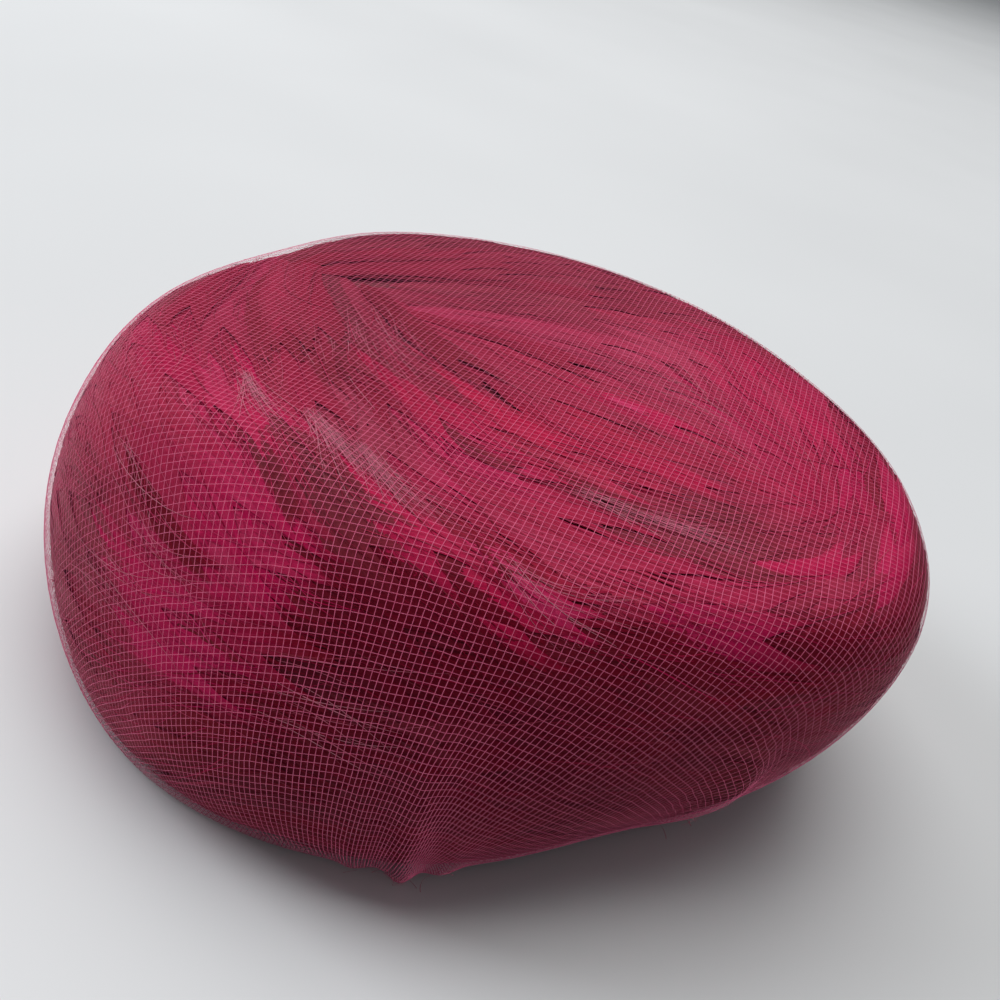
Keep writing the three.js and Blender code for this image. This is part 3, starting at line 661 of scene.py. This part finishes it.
# Its barbs leave both sides of the quill and bend along it
each_barb, shape = (count, 2, BARBS), (count, 2, BARBS, BARB_POINTS)
barb_from = np.linspace(FIRST_BARB, LAST_BARB, BARBS)
t = np.linspace(0, 1, BARB_POINTS)
slant = BARB_LEAVES * (1 - t) + BARB_ENDS * t
run = np.concatenate([[0], np.cumsum(np.cos(slant[1:]))]) / (BARB_POINTS - 1)
reach = np.concatenate([[0], np.cumsum(np.sin(slant[1:]))]) / (BARB_POINTS - 1)
long = BARB_LENGTH * (breadth * length / FEATHER_LENGTH)[:, None, None]
long = long * (0.62 + 0.38 * np.sin(np.pi * (0.15 + 0.7 * barb_from)))
long = long * chance.uniform(0.9, 1.06, each_barb)
start_at = length[:, None, None] * barb_from * BARBED_SHARE + chance.uniform(-0.5, 0.5, each_barb)
forward = start_at[..., None] + long[..., None] * run
bend = chance.normal(0, 0.03, each_barb)[..., None] * t**2
hand = np.array([1, -1])[None, :, None, None]
sideways = hand * long[..., None] * (reach + bend)
spots = sampled(quills, forward / unit) + sampled(beside, forward / unit) * sideways[..., None]
spots = on_hat(spots)
high = LEAST_HEIGHT + above[:, None, None, None] + FEATHER_RISE * forward / QUILL_RUN
high = high - EDGE_DROOP * (np.abs(sideways) / VANE_WIDTH) ** 2
high = high + BARB_STEP * np.arange(BARBS)[:, None]
room = MOST_HEIGHT - SETTLED_HEIGHT
settling = room * (1 - np.exp(-np.maximum(high - SETTLED_HEIGHT, 0) / room))
high = np.minimum(high, SETTLED_HEIGHT) + settling
points = over_backing(spots, np.maximum(high, FLOOR_HEIGHT))
lay = looked_up(NORMAL, *on_disc(spots))
width = np.broadcast_to(np.array(BARB_HALF_WIDTHS), shape)
width = width * chance.uniform(0.85, 1.1, each_barb)[..., None]

# Colours: each feather takes the colour of the place where it shows, painted shade included,
# with its own random tone
shows = quills[:, int(QUILL_POINTS * SHOWS_AT)]
dye_and_shade_of = dye_and_shade_at(shows)
dye_and_shade_of[coat:] = shown[:, 4:]
scattered_one = np.arange(count) < coat
own = np.where(scattered_one, 1, 0)
bright = np.clip(dye_and_shade_of[:, 0] + own * chance.normal(0, 0.07, count), 0, 1)
magenta = np.clip(dye_and_shade_of[:, 1] + own * chance.normal(0, 0.2, count), 0, 1)
grey = np.clip(dye_and_shade_of[:, 2] + own * chance.normal(0, 0.06, count), 0, 0.8)
bright = bright[:, None, None] + chance.normal(0, 0.022, each_barb)
grey = grey[:, None, None] + np.abs(chance.normal(0, 0.03, each_barb))
here = dye_and_shade_at(spots)
far = np.clip((forward / length[:, None, None, None] - FADE_FROM) / FADE_SPAN, 0, 1)
tip_fade = np.where(scattered_one, 0.8, 0.75)[:, None, None, None] * t**2
end_fade = np.where(scattered_one, 0.85, 0.35)[:, None, None, None] * far
blend = 1 - (1 - tip_fade) * (1 - end_fade)
colour = colour_of(
    bright[..., None] * (1 - blend) + here[..., 0] * blend,
    magenta[:, None, None, None] * (1 - blend) + here[..., 1] * blend,
    grey[..., None] * (1 - blend) + here[..., 2] * blend,
)
along_at = np.broadcast_to(long[..., None] * t, shape)
strand = np.broadcast_to(chance.random(each_barb)[..., None], shape)

# A feather belongs to the coat on which it shows
shown_phi, shown_share = on_disc(shows)
on_crown = looked_up(WAY, shown_phi, shown_share) < seam(shown_phi)
for name, chosen, slot in (("crown_feather_barbs", on_crown, "crown_feathers"),
                           ("side_feather_barbs", ~on_crown, "side_feathers")):
    parts = [part[chosen].reshape((-1, BARB_POINTS) + part.shape[4:])
             for part in (points, lay, width, colour, along_at, strand)]
    piece = strands(name, *parts)
    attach(piece, "root")

# ---- Loose barbs and down ----
# Single fine barbs that have come loose lie over the coat under the net, with tufts of pale down
# between the feathers. Nothing but the net holds them.
WISPS, WISP_POINTS, WISP_LENGTH, WISP_HEIGHT = 5000, 8, 30, 1.9
WISP_HALF_WIDTHS = (0.4, 0.8, 1, 1, 0.9, 0.7, 0.5, 0.15)
# Tufts: x, y on the disc, how many barbs, and how far they spread
DOWN_TUFTS = (
    (0.02, -0.40, 60, 0.006), (0.12, -0.35, 90, 0.006), (0.20, -0.31, 90, 0.006),
    (0.31, -0.05, 50, 0.008), (0.35, 0.02, 50, 0.008), (0.05, -0.60, 16, 0.020),
    (0.18, -0.61, 16, 0.020), (0.12, -0.74, 24, 0.020), (0.42, -0.20, 30, 0.010),
    (-0.10, -0.20, 60, 0.050), (0.08, 0.20, 60, 0.060), (0.48, -0.52, 20, 0.020),
)
share = np.sqrt(chance.random(WISPS)) * EDGE_SHARE
begun = [disc_spot(chance.random(WISPS) * 2 * np.pi, share)]
for x, y, number, spread in DOWN_TUFTS:
    begun.append(chance.normal((x, y), spread, (number, 2)))
line = [np.concatenate(begun)]
count = len(line[0])
downy = np.arange(count) >= WISPS
astray = chance.normal(0, 0.14, count)
curl = chance.normal(0, 0.05, count)
wisp_long = WISP_LENGTH * chance.uniform(0.5, 1.2, count)
for step in range(WISP_POINTS - 1):
    x, y = combed(line[-1]).T
    lean = astray + curl * step
    way = np.stack([x * np.cos(lean) - y * np.sin(lean), x * np.sin(lean) + y * np.cos(lean)], -1)
    line.append(stepped(line[-1], way, (wisp_long / (WISP_POINTS - 1))[:, None]))
line = np.stack(line, 1)
whole_line = np.ones(WISP_POINTS)
high = WISP_HEIGHT + np.outer(chance.uniform(-0.3, 0.4, count), whole_line)
points = over_backing(line, high)
half = np.where(downy, chance.uniform(0.04, 0.1, count), chance.uniform(0.06, 0.16, count))
width = np.outer(half, WISP_HALF_WIDTHS)
dye_and_shade_of = dye_and_shade_at(line[:, WISP_POINTS // 2])
kind = chance.random(count)
lighter = np.minimum(dye_and_shade_of[:, 0] + chance.uniform(0, 0.35, count), 1.1)
bright = np.where(kind < 0.85, lighter, dye_and_shade_of[:, 0] * 0.6)
bright = np.where(downy, chance.uniform(0.7, 1.3, count), bright)
missed = np.where(downy, chance.uniform(0.4, 1, count), dye_and_shade_of[:, 2] + 0.15 * (kind < 0.2))
magenta = dye_and_shade_of[:, 1] + chance.normal(0, 0.2, count)
colour = colour_of(*(np.outer(part, whole_line) for part in (bright, magenta, missed)))
lay = looked_up(NORMAL, *on_disc(line))
along_at = np.outer(wisp_long, np.linspace(0, 1, WISP_POINTS))
strand = np.outer(chance.random(count), whole_line)
wisps = strands("loose_barbs", points, lay, width, colour, along_at, strand)
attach(wisps, "root")

# ---- Net ----
# One sheet of fine net of pale pink nylon thread, laid on the bias over all of it. It is stitched
# at the rim, where its fullness is drawn into gathers, and turned under into the hat.
MESH, THREAD_HALF_WIDTH, THREAD_HALF_HEIGHT, THREAD_DEPTH = 1.8, 0.172, 0.06, 0.35
# The two families of threads: their headings in degrees, and how stout each is
THREADS, THREAD_HEFT = (58, 135), (0.9, 1.1)
HEM_DEPTH, HEM_HEIGHT, LEAST_LIFT = 7.25, 12, 0.25
NET_THREAD_DARK, NET_THREAD = "#e05d86", "#f2759b"
# Gathers: direction and spread in degrees, middle and reach as shares of the way, depth in mm
GATHERS = (
    {"direction": -35, "spread": 1.8, "middle": 0.97, "reach": 0.12, "depth": 1.2},
    {"direction": -29, "spread": 1.9, "middle": 0.93, "reach": 0.22, "depth": 3.4},
    {"direction": -24, "spread": 2.0, "middle": 0.97, "reach": 0.14, "depth": 1.6},
    {"direction": 10, "spread": 3.2, "middle": 0.82, "reach": 0.10, "depth": 3.2},
    {"direction": 152, "spread": 3.0, "middle": 0.93, "reach": 0.18, "depth": 3.0},
    {"direction": -128, "spread": 2.8, "middle": 0.96, "reach": 0.16, "depth": 2.6},
)
# How much of the fullness is eased in all round, how wide a gather draws it in at the rim and
# above, and from which share of the arc it does
EASED, DRAWN, DRAWN_ABOVE, DRAWN_FROM = 0.72, 2, 26, 0.3
# Waves by which the net is pulled out of square: their lengths, and their share of each
SLACK_WAVES, SLACK = (7, 9, 12, 17, 24, 36), 0.008
# Folds of the gathered net, where its meshes step up the side
FOLDS = (
    {"direction": -29, "sharp": 1.3, "wide": 9, "middle": 0.93, "reach": 0.16, "depth": 3.6},
    {"direction": 10, "sharp": 1.2, "wide": 6, "middle": 0.88, "reach": 0.10, "depth": -2.2},
)
# Where cut ends hang loose: the direction, how far down the side, and how many
RAVELLED = (
    (-29, 0.99, 9), (-33, 1.0, 5), (-29, 0.92, 6), (10, 0.86, 7), (14, 0.99, 4),
    (-128, 0.99, 4), (152, 0.99, 4),
)
RAVEL_POINTS, RAVEL_HEFT = 7, 0.8
NET_DIRECTIONS, NET_ROWS, FULL_CIRCLE = 720, 200, 2 * np.pi
SETTLING, FINE_STEP, SHORTEST, MOST_BEND, MOST_STEPS = 4, 1.2, 4, 0.16, 6

net_phi = np.linspace(0, FULL_CIRCLE, 2 * NET_DIRECTIONS + 1)
net_turn = np.linspace(0, FULL_CIRCLE, NET_DIRECTIONS + 1)[:-1]
arc_directions = np.arange(AROUND + 1) * 2 * np.pi / AROUND
RADIUS = np.hypot(PLACE[..., 0], PLACE[..., 1])
LIFT = standing(GATHERS, grid_phi, WAY.ravel()).reshape(AROUND, DOWN)


def arc_of(phi):
    """The length of the arc from the crown's middle to the rim, in a direction."""
    return np.interp(phi % FULL_CIRCLE, arc_directions, np.append(ARC, ARC[0]))


def summed(values, places):
    """The running total of values over places."""
    return np.concatenate([[0], np.cumsum((values[1:] + values[:-1]) / 2 * np.diff(places))])


# How far each direction of the flat net is turned on the hat, by share of the arc: round the rim
# the hat is narrower than the flat net, and the net that is left over is eased in or gathered
NET_TURNED = np.zeros((NET_DIRECTIONS, NET_ROWS))
for row, share in enumerate(np.linspace(0, 1, NET_ROWS)):
    radius = looked_up(RADIUS, net_phi, np.full_like(net_phi, share))
    rate = np.ones_like(net_phi)
    if share > 0.05:
        rate = np.minimum(radius / (share * arc_of(net_phi)), 1)
    above = (1 - np.clip((share - DRAWN_FROM) / (1 - DRAWN_FROM), 0, 1)) ** 2
    fullness = 0
    for gather in GATHERS:
        spread = gather["spread"] * DRAWN + DRAWN_ABOVE * above
        turn = turn_between(net_phi, math.radians(gather["direction"]))
        fullness = fullness + gather["depth"] * bump(turn, math.radians(spread)) / spread
    left_over = FULL_CIRCLE - summed(rate, net_phi)[-1]
    gathered = fullness * (1 - EASED) * left_over / summed(fullness, net_phi)[-1]
    turning = rate * (1 + EASED * left_over / (FULL_CIRCLE - left_over)) + gathered
    theta = summed(turning, net_phi)
    theta = theta - (theta - net_phi).mean()
    thetas, phis = (
        np.concatenate([part[:-1] + turn for turn in (-FULL_CIRCLE, 0, FULL_CIRCLE)])
        for part in (theta, net_phi)
    )
    NET_TURNED[:, row] = np.interp(net_turn, thetas, phis) - net_turn

slack_turn = chance.uniform(0, 2 * np.pi, (len(SLACK_WAVES), 2))


def net_place(flat_spot, depth):
    """Where a place of the flat net comes to lie, on the outer face or turned under at the rim."""
    for wave, (turn, begin) in zip(SLACK_WAVES, slack_turn):
        run = np.array([math.cos(turn), math.sin(turn)])
        pull = SLACK * wave * np.sin(2 * np.pi * flat_spot @ run / wave + begin)
        flat_spot = flat_spot + pull[..., None] * run[::-1]
    theta = np.arctan2(flat_spot[..., 1], flat_spot[..., 0])
    distance = np.hypot(flat_spot[..., 0], flat_spot[..., 1])
    phi = theta
    for again in range(SETTLING):
        share = distance / arc_of(phi)
        phi = theta + looked_up(NET_TURNED, theta, share)
    for fold in FOLDS:
        turn = np.degrees(turn_between(phi, math.radians(fold["direction"])))
        step = np.tanh(turn / fold["sharp"]) * bump(turn, fold["wide"])
        distance = distance - fold["depth"] * step * bump(share - fold["middle"], fold["reach"])
    past = np.maximum(distance - arc_of(phi), 0)
    share = np.minimum(distance / arc_of(phi), 1)
    normal = looked_up(NORMAL, phi, share)
    point = looked_up(PLACE, phi, share)
    point = point + normal * (looked_up(LIFT, phi, share) - depth)[..., None]
    inward = np.minimum(past, HEM_DEPTH)
    point = point - normal * np.array([1, 1, 0]) * inward[..., None]
    point[..., 2] += np.maximum(past - HEM_DEPTH, 0)
    point[..., 2] = np.maximum(point[..., 2], LEAST_LIFT)
    return point, normal, past


# Each thread is a straight line of the flat net, with points only where it bends
lines, line_lay, line_heft, thread_length = [], [], [], 0.0
net_reach = ARC.max() + HEM_DEPTH + HEM_HEIGHT
apart = MESH * math.sin(math.radians(THREADS[1] - THREADS[0]))
count = int(net_reach / apart)
for heading, heft in zip(THREADS, THREAD_HEFT):
    way = np.array([math.cos(math.radians(heading)), math.sin(math.radians(heading))])
    aside = np.array([-way[1], way[0]])
    for number in range(-count, count + 1):
        off = (number + 0.5) * apart
        half = math.sqrt(max(net_reach**2 - off**2, 0))
        if half < SHORTEST:
            continue
        along = np.linspace(-half, half, int(2 * half / FINE_STEP) + 1)
        point, normal, past = net_place(aside * off + way * along[:, None], THREAD_DEPTH)
        inside = past < HEM_DEPTH + HEM_HEIGHT
        point, normal = point[inside], normal[inside]
        if len(point) < SHORTEST:
            continue
        thread_length += (along[1] - along[0]) * (len(point) - 1)
        runs = np.diff(point, axis=0)
        runs = runs / np.maximum(np.linalg.norm(runs, axis=-1, keepdims=True), 1e-6)
        bends = np.arccos(np.clip((runs[1:] * runs[:-1]).sum(-1), -1, 1))
        keep, bent, gone = [0], 0.0, 0
        for i in range(1, len(point) - 1):
            bent, gone = bent + bends[i - 1], gone + 1
            if bent > MOST_BEND or gone >= MOST_STEPS:
                keep.append(i)
                bent, gone = 0.0, 0
        keep.append(len(point) - 1)
        lines.append(point[keep])
        line_lay.append(normal[keep])
        line_heft.append(np.full(len(keep), heft))

# Ravelled ends of cut thread, loose where the net is gathered at the rim
for direction, share, number in RAVELLED:
    for end in range(number):
        phi = np.array([math.radians(direction) + chance.normal(0, 0.05)])
        depth = np.array([share + chance.uniform(-0.03, 0.01)])
        out = looked_up(NORMAL, phi, depth)[0]
        lift = standing(GATHERS, phi, looked_up(WAY, phi, depth))[0]
        root = looked_up(PLACE, phi, depth)[0] + out * (lift + 0.1)
        round_it = np.array([-math.sin(phi[0]), math.cos(phi[0]), 0])
        way = round_it * chance.choice((-1, 1)) + out * chance.uniform(0, 0.3)
        way = way + np.array([0, 0, chance.uniform(-0.3, 0.3)])
        curl = chance.normal(0, 0.35, 3)
        point = [root]
        point[0][2] = max(point[0][2], LEAST_LIFT)
        for step in range(RAVEL_POINTS - 1):
            way = way + curl * 0.5
            way = way / np.linalg.norm(way)
            point.append(point[-1] + way * chance.uniform(0.4, 1.1))
            point[-1][2] = max(point[-1][2], LEAST_LIFT)
        lines.append(np.array(point))
        line_lay.append(np.tile(out, (RAVEL_POINTS, 1)))
        line_heft.append(np.full(RAVEL_POINTS, RAVEL_HEFT))

thread_edges = []
begin = 0
for line in lines:
    thread_edges += [(begin + i, begin + i + 1) for i in range(len(line) - 1)]
    begin += len(line)

# Every line becomes a thread, pressed flat on the feathers and left open at its cut ends. The
# attribute edge is 0 in the middle of its width and 1 at its sides.
threads, given = new_tree("threads", {
    "Lines": "Geometry", "Half width": "Float", "Half height": "Float", "Finish": "Material",
}, "Threads")
heft = add_node(threads, NAMED, {"Name": "heft"}, data_type="FLOAT").outputs["Attribute"]
ring = add_node(threads, "GeometryNodeCurvePrimitiveCircle", {"Resolution": 3, "Radius": 1.0})
half = {"X": given["Half height"], "Y": given["Half width"], "Z": 1.0}
half = add_node(threads, "ShaderNodeCombineXYZ", half)
spot = add_node(threads, "GeometryNodeInputPosition").outputs["Position"]
spot = add_node(threads, "ShaderNodeSeparateXYZ", {"Vector": spot})
edge = add_node(threads, "ShaderNodeMath", {0: spot.outputs["Y"]}, operation="ABSOLUTE")
pressed = {"Geometry": marked(threads, ring, "edge", edge.outputs[0]), "Scale": half.outputs[0]}
pressed = add_node(threads, "GeometryNodeTransform", pressed)
swept(threads, given, pressed.outputs["Geometry"], heft, "Threads")

# Fine nylon net thread: pale pink, smooth, with a faint shine. It is finer than it can be drawn,
# so its sides fade out.
thread, tree, shader = new_material("nylon_net_thread")
place = add_node(tree, "ShaderNodeTexCoord").outputs["Object"]
uneven = add_node(tree, "ShaderNodeTexNoise", {"Vector": place, "Scale": 500.0, "Detail": 2.0})
pinks = ((0.3, NET_THREAD_DARK), (0.7, NET_THREAD))
tree.links.new(ramp(tree, uneven.outputs["Fac"], pinks), shader.inputs["Base Color"])
shader.inputs["Roughness"].default_value = 0.5
shader.inputs["Specular IOR Level"].default_value = 0.2
edge = add_node(tree, "ShaderNodeAttribute", attribute_name="edge").outputs["Fac"]
core = {"Value": edge, "From Min": 0.22, "From Max": 0.62, "To Min": 0.74, "To Max": 0.0}
core = add_node(tree, "ShaderNodeMapRange", core)
tree.links.new(core.outputs["Result"], shader.inputs["Alpha"])

net = mesh_object("net_threads", np.concatenate(lines), edges=thread_edges)
attribute(net, "lay", "FLOAT_VECTOR", np.concatenate(line_lay))
attribute(net, "heft", "FLOAT", np.concatenate(line_heft))
# A three-sided ring reaches out sideways by the sine of 60 degrees
half_width = THREAD_HALF_WIDTH / math.sin(math.radians(60))
net = grown("net_threads", threads, net, {
    "Half width": half_width * MM, "Half height": THREAD_HALF_HEIGHT * MM, "Finish": thread,
})
net.data.shade_smooth()
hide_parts("net_cover")
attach(net, "root")

# ---- Floor and light ----
# A plain pale painted table top, with a wide soft lamp above and a smaller one at the left, in a
# dim pale room.
FLOOR_REACH = 6
TABLE_DARK, TABLE_LIGHT, ROOM, ROOM_STRENGTH = "#dcdddd", "#e1e2e2", "#e6ebf0", 0.2

corners = [(x * FLOOR_REACH, y * FLOOR_REACH, 0) for x, y in ((-1, -1), (1, -1), (1, 1), (-1, 1))]
floor_mesh = bpy.data.meshes.new("floor")
floor_mesh.from_pydata(corners, [], [(0, 1, 2, 3)])
floor = bpy.data.objects.new("floor", floor_mesh)
bpy.context.scene.collection.objects.link(floor)
table_top, tree, shader = new_material("painted_table_top")
place = add_node(tree, "ShaderNodeTexCoord").outputs["Object"]
soft = add_node(tree, "ShaderNodeTexNoise", {"Vector": place, "Scale": 3.0}).outputs["Fac"]
paint = ramp(tree, soft, ((0.3, TABLE_DARK), (0.7, TABLE_LIGHT)))
tree.links.new(paint, shader.inputs["Base Color"])
shader.inputs["Roughness"].default_value = 0.6
floor_mesh.materials.append(table_top)

world = bpy.data.worlds.new("soft_room")
bpy.context.scene.world = world
world.use_nodes = True
world.node_tree.nodes["Background"].inputs["Color"].default_value = linear(ROOM)
world.node_tree.nodes["Background"].inputs["Strength"].default_value = ROOM_STRENGTH


def soft_lamp(name, place, aim, wide, power, colour):
    """A square soft lamp, turned to its aim."""
    lamp = bpy.data.lights.new(name, "AREA")
    lamp.shape, lamp.size = "SQUARE", wide
    lamp.energy = power
    lamp.color = linear(colour)[:3]
    made = bpy.data.objects.new(name, lamp)
    made.location = place
    made.rotation_euler = (Vector(aim) - Vector(place)).to_track_quat("-Z", "Y").to_euler()
    bpy.context.scene.collection.objects.link(made)


soft_lamp("ceiling_light", (-1.3, 0.5, 3.8), (-0.2, 0.0, 0), wide=4.0, power=136, colour="#ffffff")
soft_lamp("window_light", (-2.4, -2.4, 2.1), (0, 0, 0.05), wide=1.8, power=78, colour="#f6f9ff")
